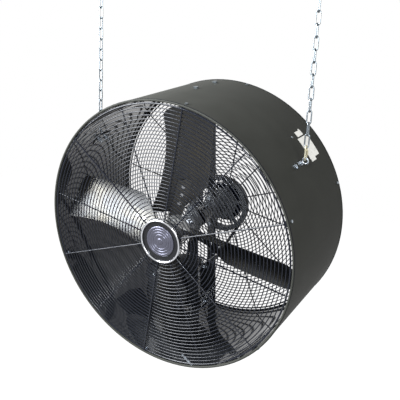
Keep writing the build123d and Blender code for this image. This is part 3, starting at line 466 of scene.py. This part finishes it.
# A mesh from arrays of points and of quads, shaded smooth.
def makeMesh(name, points, faces, slotName):
    mesh = bpy.data.meshes.new(name)
    mesh.from_pydata(points.reshape(-1, 3).tolist(), [], faces.tolist())
    mesh.polygons.foreach_set("use_smooth", np.ones(len(mesh.polygons), bool))
    mesh.update()
    piece = bpy.data.objects.new(name, mesh)
    scene.collection.objects.link(piece)
    piece.data.materials.append(finishes[slotName])
    return piece


# Quads of a grid that closes both ways, such as a torus's.
def closedGrid(rows, columns, first=0):
    i, j = np.meshgrid(np.arange(rows), np.arange(columns), indexing="ij")
    a = i * columns + j
    b = ((i + 1) % rows) * columns + j
    c = ((i + 1) % rows) * columns + (j + 1) % columns
    d = i * columns + (j + 1) % columns
    return np.stack([a, b, c, d], -1).reshape(-1, 4) + first


# Points of the drum's own frame: right, up, and depth behind the front rim.
def drumPoint(right, up, depth):
    frameAxes = [np.array(v) for v in (across, axisUp, axisBack)]
    parts = [value[..., None] * axis for value, axis in zip(np.broadcast_arrays(right, up, depth), frameAxes)]
    return sum(parts) + np.array(drum["rimCentre"])


guardRings = {
    "first": 0.0672,
    "pitch": 0.01065,
    "count": 31,
    "wire": 0.0015,
    "inset": 0.004,  # of the rings' plane from the drum's end
    "around": 168,
    "sides": 8,
}


# Each ring is a torus: radius r + w cos b at angle a, and depth d + w sin b, for all rings at once.
def makeGuardRings(values, name, depth, node):
    a = np.linspace(0, 2 * np.pi, values["around"], endpoint=False)[None, :, None]
    b = np.linspace(0, 2 * np.pi, values["sides"], endpoint=False)[None, None, :]
    r = (values["first"] + values["pitch"] * np.arange(values["count"]))[:, None, None]
    reach = r + values["wire"] * np.cos(b)
    points = drumPoint(reach * np.sin(a), reach * np.cos(a), depth + values["wire"] * np.sin(b))
    perRing = values["around"] * values["sides"]
    faces = np.concatenate([closedGrid(values["around"], values["sides"], k * perRing)
                            for k in range(values["count"])])
    piece = makeMesh(name, points, faces, "guard_paint")
    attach(piece, "drum")
    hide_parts(node)


makeGuardRings(guardRings, "front_wires", guardRings["inset"], "front_guard_rings")
makeGuardRings(guardRings, "rear_wires", drum["depth"] - guardRings["inset"], "rear_guard_rings")
print("guard wires made")

# The photograph's camera: its place from the front rim's centre, and two of its axes.
view = {
    "place": Vector((0.91830, -1.40370, 0.56332)),
    "right": Vector((0.86312, 0.50294, 0.04550)),
    "up": Vector((-0.16504, 0.19578, 0.96666)),
    "lens": 54.93,  # millimetres, as the sensor
    "sensor": 36,
}
camera = bpy.data.cameras.new("camera")
camera.lens = view["lens"]
camera.sensor_width = view["sensor"]
cameraObject = bpy.data.objects.new("camera", camera)
scene.collection.objects.link(cameraObject)
right = view["right"].normalized()
back = right.cross(view["up"]).normalized()
up = back.cross(right)
cameraObject.matrix_world = Matrix.Translation(drum["rimCentre"] + view["place"]) @ Matrix(
    (right, up, back)).transposed().to_4x4()
scene.camera = cameraObject

studio = {
    "floor": -2.6,
    "size": 14,
    "paleness": 0.36,
    "shown": 0.75,  # how much of the floor's glow the camera and gloss see
    "white": 1.33,
    "light": 0.24,  # the world's strength on what it lights; where it is seen it is 1
}


# 1 for what the camera sees straight, in gloss or through glass, and 0 for the light on other surfaces.
def directRays(tree):
    path = tree.nodes.new("ShaderNodeLightPath")
    straight, glossy, through = [ShaderMath(tree, path.outputs[kind])
                                 for kind in ("Is Camera Ray", "Is Glossy Ray", "Is Transmission Ray")]
    return (straight + glossy + through).clamped()


# A pale floor that glows white where it is seen.
def makeFloor(values):
    f = Finish("pale floor")
    seen = directRays(f.tree) * values["shown"]
    pale = f.node("ShaderNodeBsdfDiffuse", {}, {"Color": (values["paleness"],) * 3})
    glow = f.node("ShaderNodeEmission", {}, {"Color": (1, 1, 1), "Strength": values["white"]})
    both = f.node("ShaderNodeMixShader", {}, {0: seen, 1: pale.outputs[0], 2: glow.outputs[0]})
    f.tree.links.new(both.outputs[0], f.output.inputs["Surface"])
    mesh = bpy.data.meshes.new("floor")
    half = values["size"] / 2
    corners = [(x, y, values["floor"]) for x, y in ((-half, -half), (half, -half), (half, half), (-half, half))]
    mesh.from_pydata(corners, [], [(0, 1, 2, 3)])
    floor = bpy.data.objects.new("floor", mesh)
    scene.collection.objects.link(floor)
    floor.data.materials.append(f.material)


# A world that is white where it is seen, and softer on what it lights.
def makeWorld(values):
    world = bpy.data.worlds.new("studio")
    world.use_nodes = True
    scene.world = world
    tree = world.node_tree
    tree.nodes.clear()
    strength = directRays(tree) * (1 - values["light"]) + values["light"]
    background = tree.nodes.new("ShaderNodeBackground")
    background.inputs["Color"].default_value = (1, 1, 1, 1)
    tree.links.new(strength.socket, background.inputs["Strength"])
    output = tree.nodes.new("ShaderNodeOutputWorld")
    tree.links.new(background.outputs[0], output.inputs["Surface"])


makeFloor(studio)
makeWorld(studio)

# The key lamp stands where the left blade mirrors it towards the camera, the side one is a faint fill on
# the drum's right, and the front one draws a streak down the lower left of the guard's rings.
lamps = {
    "key": {"place": (-1.7, -1.6, 0.5), "size": 1.7, "tall": 2.4, "power": 450, "colour": (0.94, 0.97, 1)},
    "side": {"place": (1.9, -1.2, 0.3), "size": 1.2, "tall": 1.2, "power": 30, "colour": (1, 1, 0.97)},
    "front": {"place": (0.85, -2.2, 0.27), "size": 0.3, "tall": 0.3, "power": 60, "colour": (0.9, 0.95, 1)},
}
aimDepth = 0.2  # all three point at the drum's axis, this far behind the front rim
for lampName, values in lamps.items():
    light = bpy.data.lights.new(lampName, "AREA")
    light.shape = "RECTANGLE"
    light.size = values["size"]
    light.size_y = values["tall"]
    light.energy = values["power"]
    light.color = values["colour"]
    lamp = bpy.data.objects.new(lampName, light)
    scene.collection.objects.link(lamp)
    lamp.location = values["place"]
    aim = drum["rimCentre"] + axisBack * aimDepth - Vector(values["place"])
    lamp.rotation_euler = aim.to_track_quat("-Z", "Y").to_euler()
print("studio, camera and lamps set")
